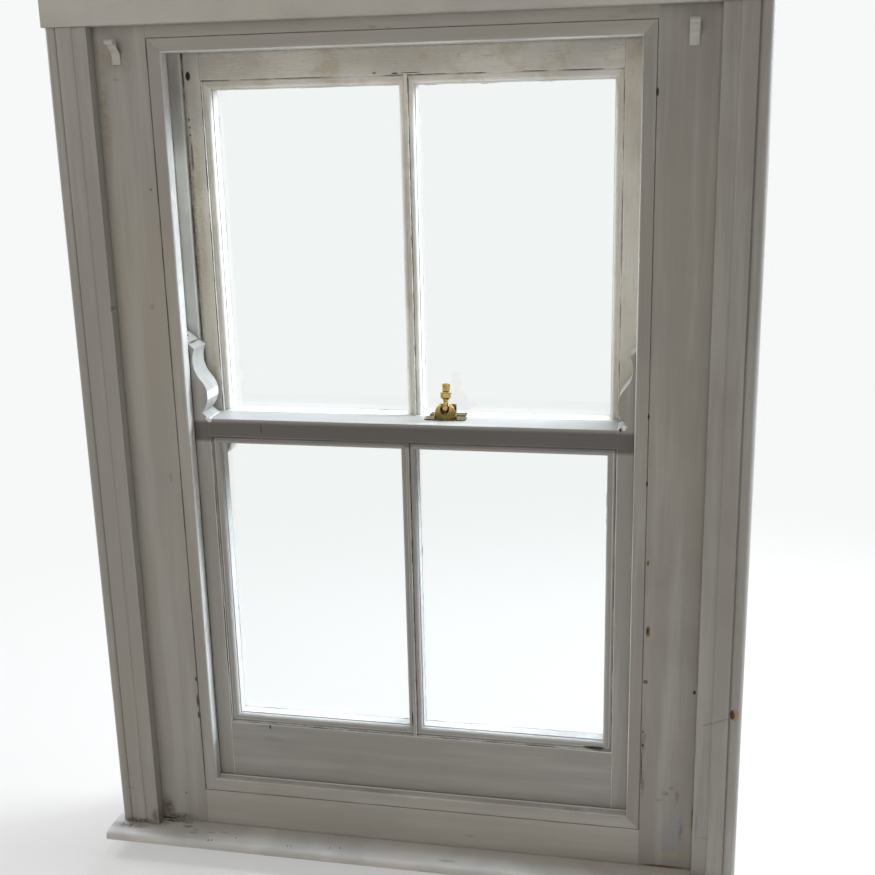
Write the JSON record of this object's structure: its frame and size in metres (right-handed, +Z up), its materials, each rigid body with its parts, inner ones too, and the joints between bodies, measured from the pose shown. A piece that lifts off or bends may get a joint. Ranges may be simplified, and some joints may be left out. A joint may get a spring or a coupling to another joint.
{
  "type": "sash window",
  "caption": "White painted timber box sash window with divided panes, a horned inner sash, a brass screw fastener, cords and weights in boxed linings, architraves and a window board.",
  "frame": {"origin": "underside of the sill, midway between the pulley stiles, under the middle of the parting beads", "axes": "+X to the right as seen from the room, +Y outwards through the window, +Z up"},
  "size_m": [1.026, 0.233, 1.393],
  "materials": {
    "painted_timber": "old gloss paint",
    "bare_timber": "sawn",
    "glass": "polished",
    "putty": "painted",
    "brass": "worn polish",
    "cast_iron": "rough",
    "steel": "turned",
    "sash_cord": "waxed",
    "painted_strap": "old gloss paint"
  },
  "bodies": {
    "frame": {"sill": "painted_timber", "pulley_stile_left": "painted_timber", "pulley_stile_right": "painted_timber", "inner_lining_left": "painted_timber", "inner_lining_right": "painted_timber", "inner_lining_head": "painted_timber", "outer_lining_left": "painted_timber", "outer_lining_right": "painted_timber", "outer_lining_head": "painted_timber", "parting_beads": "painted_timber", "staff_bead_left": "painted_timber", "staff_bead_right": "painted_timber", "staff_bead_sill": "painted_timber", "staff_bead_head": "painted_timber", "pocket_pieces": "painted_timber", "architrave_left": "painted_timber", "architrave_right": "painted_timber", "head_board": "painted_timber", "window_board": "painted_timber", "bed_mould": "painted_timber", "head": "bare_timber", "back_linings": "bare_timber", "wagtails": "bare_timber", "pulley_cases": "cast_iron", "cord_lower_left": "sash_cord", "cord_lower_right": "sash_cord", "cord_upper_left": "sash_cord", "cord_upper_right": "sash_cord", "pulley_axles": "steel", "curtain_straps": "painted_strap"},
    "lower_sash": {"lower_stile_left": "painted_timber", "lower_stile_right": "painted_timber", "lower_bottom_rail": "painted_timber", "lower_meeting_rail": "painted_timber", "lower_glazing_bar": "painted_timber", "lower_panes": "glass", "lower_putty": "putty", "fastener_base": "brass", "fastener_pivot": "brass", "fastener_screws": "brass"},
    "upper_sash": {"upper_stile_left": "painted_timber", "upper_stile_right": "painted_timber", "upper_top_rail": "painted_timber", "upper_meeting_rail": "painted_timber", "upper_glazing_bar": "painted_timber", "upper_panes": "glass", "upper_putty": "putty", "keeper": "brass", "keeper_screws": "brass"},
    "arm": {"fastener_arm": "brass"},
    "nut": {"fastener_nut": "brass"},
    "lower_left_weight": {"weight_lower_left": "cast_iron"},
    "lower_left_wheel": {"pulley_wheel_lower_left": "cast_iron"},
    "lower_right_weight": {"weight_lower_right": "cast_iron"},
    "lower_right_wheel": {"pulley_wheel_lower_right": "cast_iron"},
    "upper_left_weight": {"weight_upper_left": "cast_iron"},
    "upper_left_wheel": {"pulley_wheel_upper_left": "cast_iron"},
    "upper_right_weight": {"weight_upper_right": "cast_iron"},
    "upper_right_wheel": {"pulley_wheel_upper_right": "cast_iron"}
  },
  "joints": [
    {"name": "lower_sash_slide", "type": "slide", "parent": "frame", "child": "lower_sash", "axis": [0, 0, 1], "range_m": [0, 0.4235], "deforming": ["cord_lower_left", "cord_lower_right"]},
    {"name": "upper_sash_slide", "type": "slide", "parent": "frame", "child": "upper_sash", "axis": [0, 0, -1], "range_m": [0, 0.44], "deforming": ["cord_upper_left", "cord_upper_right"]},
    {"name": "lower_left_weight_slide", "type": "slide", "parent": "frame", "child": "lower_left_weight", "axis": [0, 0, -1], "range_m": [0, 0.4235]},
    {"name": "lower_left_wheel_turn", "type": "hinge", "parent": "frame", "child": "lower_left_wheel", "pos_m": [-0.3735, -0.028, 1.191], "axis": [0, 1, 0], "range_deg": [-1078.6, 0]},
    {"name": "lower_right_weight_slide", "type": "slide", "parent": "frame", "child": "lower_right_weight", "axis": [0, 0, -1], "range_m": [0, 0.4235]},
    {"name": "lower_right_wheel_turn", "type": "hinge", "parent": "frame", "child": "lower_right_wheel", "pos_m": [0.3735, -0.028, 1.191], "axis": [0, 1, 0], "range_deg": [0, 1078.6]},
    {"name": "upper_left_weight_slide", "type": "slide", "parent": "frame", "child": "upper_left_weight", "axis": [0, 0, 1], "range_m": [0, 0.44]},
    {"name": "upper_left_wheel_turn", "type": "hinge", "parent": "frame", "child": "upper_left_wheel", "pos_m": [-0.3735, 0.028, 1.191], "axis": [0, 1, 0], "range_deg": [0, 1120.6]},
    {"name": "upper_right_weight_slide", "type": "slide", "parent": "frame", "child": "upper_right_weight", "axis": [0, 0, 1], "range_m": [0, 0.44]},
    {"name": "upper_right_wheel_turn", "type": "hinge", "parent": "frame", "child": "upper_right_wheel", "pos_m": [0.3735, 0.028, 1.191], "axis": [0, 1, 0], "range_deg": [-1120.6, 0]},
    {"name": "fastener_arm_swing", "type": "hinge", "parent": "lower_sash", "child": "arm", "pos_m": [0.052, -0.012, 0.7465], "axis": [1, 0, 0], "range_deg": [-74, 16]},
    {"name": "fastener_nut_run", "type": "slide", "parent": "arm", "child": "nut", "axis": [0, 0.2756, 0.9613], "range_m": [-0.0018, 0.0081]}
  ],
  "couplings": [
    {"joint": "lower_left_weight_slide", "follows": "lower_sash_slide", "ratio": 1},
    {"joint": "lower_left_wheel_turn", "follows": "lower_sash_slide", "rad_per_m": -44.444},
    {"joint": "lower_right_weight_slide", "follows": "lower_sash_slide", "ratio": 1},
    {"joint": "lower_right_wheel_turn", "follows": "lower_sash_slide", "rad_per_m": 44.444},
    {"joint": "upper_left_weight_slide", "follows": "upper_sash_slide", "ratio": 1},
    {"joint": "upper_left_wheel_turn", "follows": "upper_sash_slide", "rad_per_m": 44.444},
    {"joint": "upper_right_weight_slide", "follows": "upper_sash_slide", "ratio": 1},
    {"joint": "upper_right_wheel_turn", "follows": "upper_sash_slide", "rad_per_m": -44.444},
    {"joint": "fastener_nut_run", "follows": "fastener_arm_swing", "m_per_rad": -0.0061941}
  ]
}
